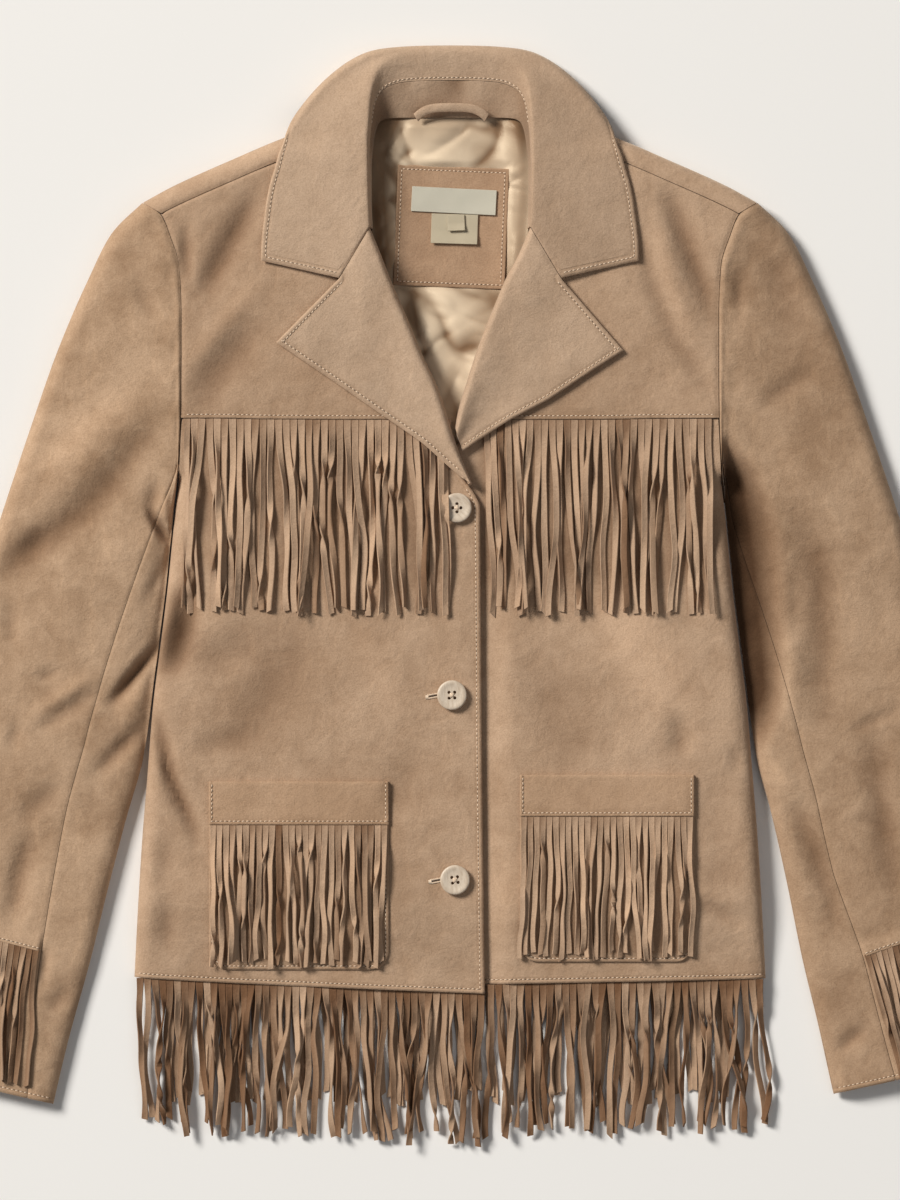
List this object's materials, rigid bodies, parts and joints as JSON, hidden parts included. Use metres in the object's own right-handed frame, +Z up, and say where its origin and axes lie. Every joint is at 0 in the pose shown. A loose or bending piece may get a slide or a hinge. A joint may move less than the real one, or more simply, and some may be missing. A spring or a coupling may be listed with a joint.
{
  "type": "fringed suede jacket",
  "caption": "Single-breasted suede jacket with notched lapels, patch pockets and fringes at chest, pockets, cuffs and hem, laid flat and buttoned.",
  "frame": {"origin": "middle of the jacket's bounding box in plan, on the surface that it lies on", "axes": "+X towards the wearer's left sleeve, +Y from the hem to the collar, +Z up from the surface, out of the fronts"},
  "size_m": [0.7997, 0.7904, 0.028],
  "materials": {
    "suede": "napped, matte",
    "satin": "satin sheen",
    "label_cloth": "woven, matte",
    "horn_button": "soft polish"
  },
  "bodies": {
    "root": {"back": "suede", "collar": "suede", "collar_stand": "suede", "label_patch": "suede", "hanger_loop": "suede", "hem_fringe_back": "suede", "front_right": "suede", "front_left": "suede", "front_yoke_right": "suede", "front_yoke_left": "suede", "lapel_right": "suede", "lapel_left": "suede", "sleeve_top_right": "suede", "sleeve_top_left": "suede", "sleeve_under_right": "suede", "sleeve_under_left": "suede", "pocket_right": "suede", "pocket_left": "suede", "pocket_band_right": "suede", "pocket_band_left": "suede", "chest_fringe_right": "suede", "chest_fringe_left": "suede", "pocket_fringe_right": "suede", "pocket_fringe_left": "suede", "hem_fringe_right": "suede", "hem_fringe_left": "suede", "cuff_fringe_right": "suede", "cuff_fringe_left": "suede", "lining": "satin", "main_label": "label_cloth", "care_tab": "label_cloth", "size_tab": "label_cloth", "button_top": "horn_button", "button_middle": "horn_button", "button_bottom": "horn_button"}
  },
  "joints": []
}
